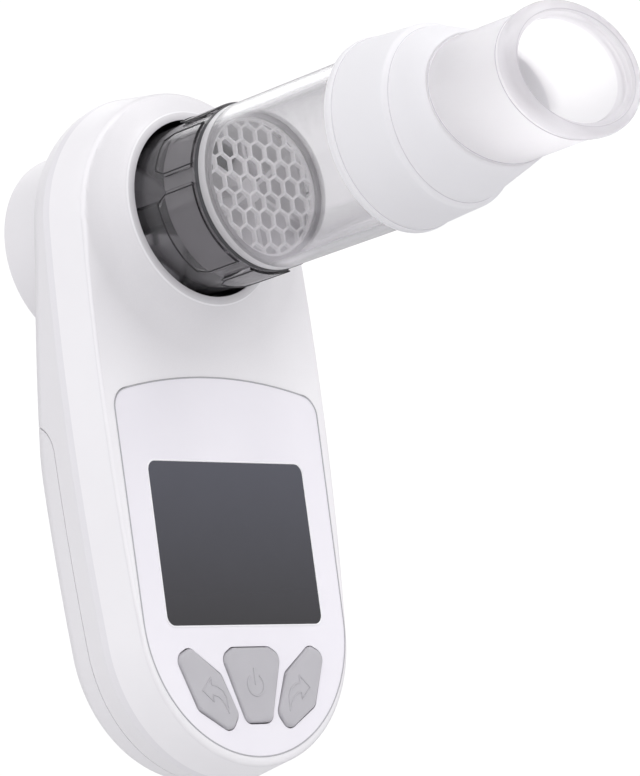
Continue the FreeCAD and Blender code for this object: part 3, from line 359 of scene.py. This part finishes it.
# Grey lines in the mouthpiece's corners: painted shade, as the mouthpiece is a single moulding.
corner_shade_grey = Finish("mouthpiece_corner_shade_plastic", rgb(220, 217, 221), 0.4)
corner_shade_grey.mottle(rgb(214, 211, 215), rgb(226, 223, 227), 4, 0.36, 0.46)

seam_dark = Finish("seam_shadow", rgb(150, 148, 151), 0.6)
seam_dark.mottle(rgb(142, 140, 143), rgb(158, 156, 159), 3, 0.55, 0.65)

# A fine raised bead round the window, coloured whiter than the panel: a painted highlight on the
# window's edge.
window_highlight_white = Finish("window_edge_highlight", rgb(248, 247, 249), 0.3)
window_highlight_white.mottle(rgb(246, 245, 247), rgb(250, 249, 251), 4, 0.26, 0.34)

# Dark lines along the guide pads' edges: painted shade where light bends at the pads' steps.
pad_edge_shade = Finish("guide_pad_edge", rgb(44, 43, 46), 0.35)
pad_edge_shade.mottle(rgb(20, 19, 22), rgb(34, 33, 36), 3, 0.3, 0.4)

FINISHES = {
    white_shell: ["front_shell"],
    back_shell: ["rear_shell", "battery_door"],
    panel_film: ["control_panel"],
    dark_glass: ["display_window"],
    grey_rubber: ["power_button", "forward_button", "back_button"],
    black_liner: ["socket_liner"],
    dark_seal: ["joint_seal"],
    clear_tube: ["inlet_tube"],
    smoke_tube: ["turbine_housing"],
    frosted: ["mouthpiece"],
    honeycomb_with_painted_glow: ["honeycomb_screen"],
    front_vanes_painted_glow: ["front_swirl_ring"],
    vane_plastic: ["rear_swirl_ring"],
    rotor_plastic: ["rotor"],
    steel: ["rotor_shaft", "case_screws", "contact_plates", "contact_springs"],
    board_green: ["main_board", "sensor_board"],
    black_part: ["tact_switches", "sounder", "display_module"],
    lens_clear: ["light_detectors", "light_emitter"],
    brass: ["front_bearing", "rear_bearing"],
    cell_wrap: ["battery_left", "battery_right"],
}
for finish, names in FINISHES.items():
    for name in names:
        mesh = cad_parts[name].data
        mesh.materials.clear()
        mesh.materials.append(finish.material)

# The shells and keys are joined up, cut open again at their sharp edges, and shaded by the size of
# their faces, so that the flats stay flat and the roundings between them look soft.
for name in FINISHES[white_shell] + FINISHES[back_shell] + FINISHES[grey_rubber]:
    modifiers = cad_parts[name].modifiers
    weld = modifiers.new("weld", "WELD")
    weld.merge_threshold = 2e-6
    split = modifiers.new("split", "EDGE_SPLIT")
    split.split_angle = math.radians(50)
    shade = modifiers.new("shade", "WEIGHTED_NORMAL")
    shade.keep_sharp = False
    shade.weight = 70


# ---------------------------------------------------------------- pieces

def add_piece(name, work, finish, body, crease=40):
    """Makes a piece of a bmesh that is drawn in place, and lets it ride on a body.

    Edges that turn by more than crease degrees stay sharp.
    """
    mesh = bpy.data.meshes.new(name)
    bmesh.ops.remove_doubles(work, verts=work.verts, dist=2e-7)
    bmesh.ops.recalc_face_normals(work, faces=work.faces)
    for face in work.faces:
        face.smooth = True
    for edge in work.edges:
        edge.smooth = len(edge.link_faces) == 2 and edge.calc_face_angle(0) < math.radians(crease)
    work.to_mesh(mesh)
    work.free()
    mesh.materials.append(finish.material)
    piece = bpy.data.objects.new(name, mesh)
    bpy.context.scene.collection.objects.link(piece)
    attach(piece, body)
    return piece


def hoop(work, forward, half, height):
    """A round or oval ring of edges across the breath."""
    ring = bmesh.ops.create_circle(work, segments=ROUND, radius=MM)["verts"]
    bmesh.ops.rotate(work, matrix=Matrix.Rotation(math.radians(90), 3, "X"), verts=ring)
    bmesh.ops.scale(work, vec=(half, 1, height), verts=ring)
    bmesh.ops.translate(work, vec=spot(0, forward, 0), verts=ring)
    return list({edge for vert in ring for edge in vert.link_edges})


def turned_wall(work, rows):
    """A closed wall whose section runs through the rows: station, half width, half height."""
    edges = hoop(work, *rows[0])
    for row, next_row in zip(rows, rows[1:] + rows[:1]):
        forward, half, height = row
        next_forward, next_half, next_height = next_row
        made = bmesh.ops.extrude_edge_only(work, edges=edges)["geom"]
        ring = [item for item in made if isinstance(item, bmesh.types.BMVert)]
        bmesh.ops.scale(work, vec=(next_half / half, 1, next_height / height), verts=ring)
        bmesh.ops.translate(work, vec=spot(0, next_forward - forward, 0), verts=ring)
        on_ring = set(ring)
        edges = [item for item in made
                 if isinstance(item, bmesh.types.BMEdge) and set(item.verts) <= on_ring]


def bead(name, lines, radius, finish, body, closed=False):
    """Fine round beads along lines of places, as one piece."""
    curve = bpy.data.curves.new(name, "CURVE")
    curve.dimensions = "3D"
    curve.bevel_depth = radius * MM
    curve.bevel_resolution = 2
    curve.use_fill_caps = True
    for line in lines:
        spline = curve.splines.new("POLY")
        spline.points.add(len(line) - 1)
        for point, place in zip(spline.points, line):
            point.co = (*place, 1)
        spline.use_cyclic_u = closed
    holder = bpy.data.objects.new(name, curve)
    bpy.context.scene.collection.objects.link(holder)
    bpy.context.view_layer.update()
    drawn = holder.evaluated_get(bpy.context.evaluated_depsgraph_get())
    mesh = bpy.data.meshes.new_from_object(drawn)
    bpy.data.objects.remove(holder)
    work = bmesh.new()
    work.from_mesh(mesh)
    return add_piece(name, work, finish, body)


def bend(centre, radius, start, stop, forward, count):
    """Places along an arc seen from the front, in degrees from the right and up."""
    turns = [math.radians(start + (stop - start) * i / count) for i in range(count + 1)]
    return [spot(centre[0] + radius * math.cos(t), forward, centre[1] + radius * math.sin(t))
            for t in turns]


def chain(arcs, forward):
    """Places along arcs that follow each other: centre, radius, start, stop, steps."""
    return [place for *arc, count in arcs for place in bend(*arc, forward, count)]


def oval_line(forward, half, height):
    """Places along an oval across the breath."""
    turns = [2 * math.pi * i / ROUND for i in range(ROUND)]
    return [spot(half * math.cos(t), forward, height * math.sin(t)) for t in turns]


# The mouthpiece, from its open end at the tube: raised rim, skirt, shoulder step, cone
CONE_FOOT = (96.0, 15.05, 14.85)
ROOT = 104.2           # station where the cone meets the oval neck
CONE_STEPS = 9
OUTSIDE = [
    (81.4, 16.3, 16.3), (81.42, 16.7, 16.7), (81.6, 16.92, 16.92), (82.0, 17.0, 17.0),
    (82.7, 16.98, 16.98), (82.95, 16.9, 16.9), (83.1, 16.7, 16.7), (84, 16.66, 16.66),
    (90, 16.25, 16.25), (93.7, 16.02, 16.02), (94.0, 15.93, 15.93), (94.25, 15.6, 15.6),
    (94.45, 15.15, 15.15), (94.6, 15.04, 15.04), (95.3, 15.02, 15.02), CONE_FOOT,
]
for i in range(1, CONE_STEPS):
    t = i / CONE_STEPS
    widening = 1.25 * t * t * (3 - 2 * t)
    narrowing = 3.5 * (0.88 * t + 0.12 * t * t)
    OUTSIDE.append((CONE_FOOT[0] + (ROOT - CONE_FOOT[0]) * t,
                    CONE_FOOT[1] + widening, CONE_FOOT[2] - narrowing))
# Oval neck and rolled lip
OUTSIDE += [
    (ROOT, 16.3, 11.35), (ROOT + 0.12, 16.3, 11.3), (ROOT + 0.3, 16.2, 11.08),
    (ROOT + 0.6, 16.17, 11.05), (106.5, 16.14, 11.04), (112, 15.96, 11.03), (118.4, 15.78, 11.02),
    (119.2, 15.8, 11.05), (119.7, 15.95, 11.18), (120.1, 16.2, 11.36), (120.7, 16.36, 11.46),
    (121.3, 16.4, 11.48), (121.8, 16.28, 11.37), (122.15, 15.98, 11.12), (122.35, 15.55, 10.75),
    (122.4, 15.2, 10.45),
]
# The inner step of the lip, the oval bore, and the socket that takes the tube
INSIDE = [
    (122.4, 14.55, 9.92), (122.36, 14.45, 9.82), (122.25, 14.38, 9.76), (121.75, 14.3, 9.68),
    (121.6, 14.2, 9.6), (121.52, 13.4, 9.14), (121.4, 13.1, 8.98), (121.1, 12.95, 8.88),
    (120.4, 12.9, 8.85), (112, 13.1, 8.95), (105.5, 13.6, 9.2), (102, 13.8, 10.4), (98, 13.85, 12.6),
    (95.2, 13.9, 13.75), (94.0, 14.2, 14.2), (93.3, 15.03, 15.03), (92.9, 15.04, 15.04),
    (86, 15.05, 15.05), (82, 15.08, 15.08), (81.5, 15.3, 15.3), (81.4, 15.7, 15.7),
]
work = bmesh.new()
turned_wall(work, OUTSIDE + INSIDE)
mouthpiece = add_piece("mouthpiece_skin", work, frosted, "mouthpiece", 38)
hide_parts("mouthpiece")

# Grey lines of painted shade in the corners of the mouthpiece: rim, shoulder, cone, lip, inner step
CORNER_SHADE_LINES = [(83.12, 16.72, 16.72), (94.55, 15.06, 15.06), (ROOT + 0.35, 16.2, 11.08),
              (119.0, 15.8, 11.05), (122.29, 14.42, 9.82)]
bead("mouthpiece_corner_shade_lines", [oval_line(*row) for row in CORNER_SHADE_LINES], 0.1, corner_shade_grey,
     "mouthpiece", closed=True)

# The case seen from the front: two round ends and slowly curved sides
HEAD_RADIUS, HEAD_HEIGHT = 27.6, -4.4
FOOT_RADIUS, FOOT_HEIGHT = 26.2, -73.693
SIDE_RADIUS = 500.0


def case_line(forward, grow):
    """Places along the outline of the case, grown outwards: foot, side, head, other side."""
    head, foot, side = HEAD_RADIUS + grow, FOOT_RADIUS + grow, SIDE_RADIUS + grow
    span = HEAD_HEIGHT - FOOT_HEIGHT
    # A side's centre lies where its arc runs on into both round ends
    drop = FOOT_HEIGHT + (span * span + (side - foot) ** 2 - (side - head) ** 2) / (2 * span)
    out = math.sqrt((side - head) ** 2 - (drop - HEAD_HEIGHT) ** 2)
    lean_head, lean_foot = (math.degrees(math.atan2(end - drop, out))
                            for end in (HEAD_HEIGHT, FOOT_HEIGHT))
    half = chain([((0, FOOT_HEIGHT), foot, 270, 360 + lean_foot, 28),
                  ((-out, drop), side, lean_foot, lean_head, 12),
                  ((0, HEAD_HEIGHT), head, lean_head, 90, 28)], forward)
    mirrored = [Vector((-p.x, p.y, p.z)) for p in reversed(half)]
    return half + mirrored[1:-1]


# Fine lines where the panel, the shells and the window meet, the one round the window whiter as a
# painted highlight
PANEL_ARCS = [
    ((0, -123.0), 93.0, 77, 103, 36),
    ((-20.6, -36.2), 3.75, 112, 178, 8),
    ((0, -72.793), 23.98, 180, 360, 64),
    ((20.6, -36.2), 3.75, 2, 68, 8),
]
bead("panel_line", [chain(PANEL_ARCS, FACE + 0.01)], 0.12, seam_grey, "case",
     closed=True)
bead("case_seam_line", [case_line(SEAM, -0.316)], 0.3, seam_dark, "case", closed=True)

# The bead round the window is a raised edge whose whiter colour is a painted highlight.
WINDOW_ARCS = [
    ((16.8, -46.85), 1.86, 0, 90, 8),
    ((-16.8, -46.85), 1.86, 90, 180, 8),
    ((-16.8, -72.1), 1.86, 180, 270, 8),
    ((16.8, -72.1), 1.86, 270, 360, 8),
]
bead("window_highlight_line", [chain(WINDOW_ARCS, FACE + 0.02)], 0.15, window_highlight_white, "case",
     closed=True)

# Fine dark lines along the edges of the guide pads, painted shade where light bends at their steps; a
# wide pad and a narrow one in each third of the turbine
PAD_RADIUS = TUBE + 0.5
PAD_BACK, PAD_CORNER, PAD_FRONT = 38.45, 40.6, 48.0


def on_pad(angle, forward):
    """A place on the outside of a guide pad."""
    t = math.radians(angle)
    return spot(PAD_RADIUS * math.cos(t), forward, PAD_RADIUS * math.sin(t))


PAD_SHADE_LINES = []
for start, stop in ((180, 244), (254, 290)):
    for third in (0, 120, 240):
        first, last = start + third + 2, stop + third - 2
        PAD_SHADE_LINES.append([on_pad(last, PAD_FRONT), on_pad(last, PAD_CORNER)]
                    + bend((0, 0), PAD_RADIUS, last - 4, first + 4, PAD_BACK, 20)
                    + [on_pad(first, PAD_CORNER), on_pad(first, PAD_FRONT)])
bead("guide_pad_edges", PAD_SHADE_LINES, 0.14, pad_edge_shade, "turbine")

# Signs on the keys: a power sign, and a bent arrow whose outline is drawn on each side
SIGN = KEY_TOP + 0.02
POWER_CENTRE = (-0.2, -84.4)
bead("power_sign", [bend(POWER_CENTRE, 1.9, 125, 415, SIGN, 32),
                    [spot(-0.2, SIGN, -81.4), spot(-0.2, SIGN, -84.4)]],
     0.16, grey_rubber, "power_button")
TIP, WING_HIGH, WING_LOW = (12.9, -85.1), (10.6, -82.9), (10.6, -87.1)
STEM_LOW = [(10.6, -85.9), (9.6, -86.1), (8.7, -86.7), (7.9, -87.8), (7.3, -89.2)]
STEM_HIGH = [(10.6, -84.2), (9.3, -84.5), (8.2, -85.2), (7.5, -86.4), (7.3, -89.2)]
ARROW = [[WING_HIGH, TIP, WING_LOW] + STEM_LOW, [WING_HIGH] + STEM_HIGH]
for hand, name in ((-1, "back"), (1, "forward")):
    bead(name + "_sign", [[spot(hand * x, SIGN, z) for x, z in line] for line in ARROW], 0.13,
         grey_rubber, name + "_button")


# ---------------------------------------------------------------- studio

# The object is lit by a sky that is brightest on the left and in front. The camera, and what is
# seen through clear plastic, meet a plain white backdrop.
SKY = {"even": 0.14, "left": 1.12, "right": 0.42, "front": 0.96, "back": 0.26}
BACKDROP = 1.05
world = bpy.data.worlds.new("studio")
bpy.context.scene.world = world
world.use_nodes = True
world.node_tree.nodes.clear()
sky = Network(world.node_tree)
heading = sky.node("ShaderNodeTexCoord", output="Generated")
right, back = (sky.node("ShaderNodeSeparateXYZ", values=(heading,), output=i) for i in range(2))
soft = ((right * -1).at_least(0) * SKY["left"] + right.at_least(0) * SKY["right"]
        + (back * -1).at_least(0) * SKY["front"] + back.at_least(0) * SKY["back"] + SKY["even"])
light = sky.node("ShaderNodeBackground", values={"Color": (0.98, 0.98, 1, 1), "Strength": soft})
plain = sky.node("ShaderNodeBackground", values={"Color": (1, 1, 1, 1), "Strength": BACKDROP})
seen = sky.node("ShaderNodeLightPath", output="Is Camera Ray").at_least(
    sky.node("ShaderNodeLightPath", output="Is Transmission Ray"))
shown = sky.node("ShaderNodeMixShader", values=(seen, light, plain))
sky.node("ShaderNodeOutputWorld", values={"Surface": shown})
bpy.context.scene.view_settings.view_transform = "Standard"


def lamp(name, place, size, power):
    """A round soft lamp that points at the middle of the object."""
    data = bpy.data.lights.new(name, "AREA")
    data.shape = "DISK"
    data.size = size
    data.energy = power
    item = bpy.data.objects.new(name, data)
    item.location = place
    middle = spot(0, 45, -30)
    item.rotation_euler = (middle - Vector(place)).to_track_quat("-Z", "Y").to_euler()
    bpy.context.scene.collection.objects.link(item)


lamp("top", (0.02, -0.45, 0.90), 0.3, 1.4)
lamp("right", (0.5, -0.7, 0.7), 0.5, 1.8)
lamp("back", (0.3, 0.7, 0.6), 0.6, 0.9)

FLOOR_DEPTH = -0.24
FLOOR_SIZE = 2.5
work = bmesh.new()
bmesh.ops.create_grid(work, x_segments=2, y_segments=2, size=FLOOR_SIZE)
bmesh.ops.translate(work, vec=(0, 0, FLOOR_DEPTH), verts=work.verts)
mesh = bpy.data.meshes.new("floor")
work.to_mesh(mesh)
work.free()
floor = bpy.data.objects.new("floor", mesh)
bpy.context.scene.collection.objects.link(floor)
pale = Finish("pale_floor", rgb(236, 236, 237), 0.8)
pale.mottle(rgb(235, 235, 236), rgb(238, 238, 239), 200, 0.75, 0.85)
mesh.materials.append(pale.material)
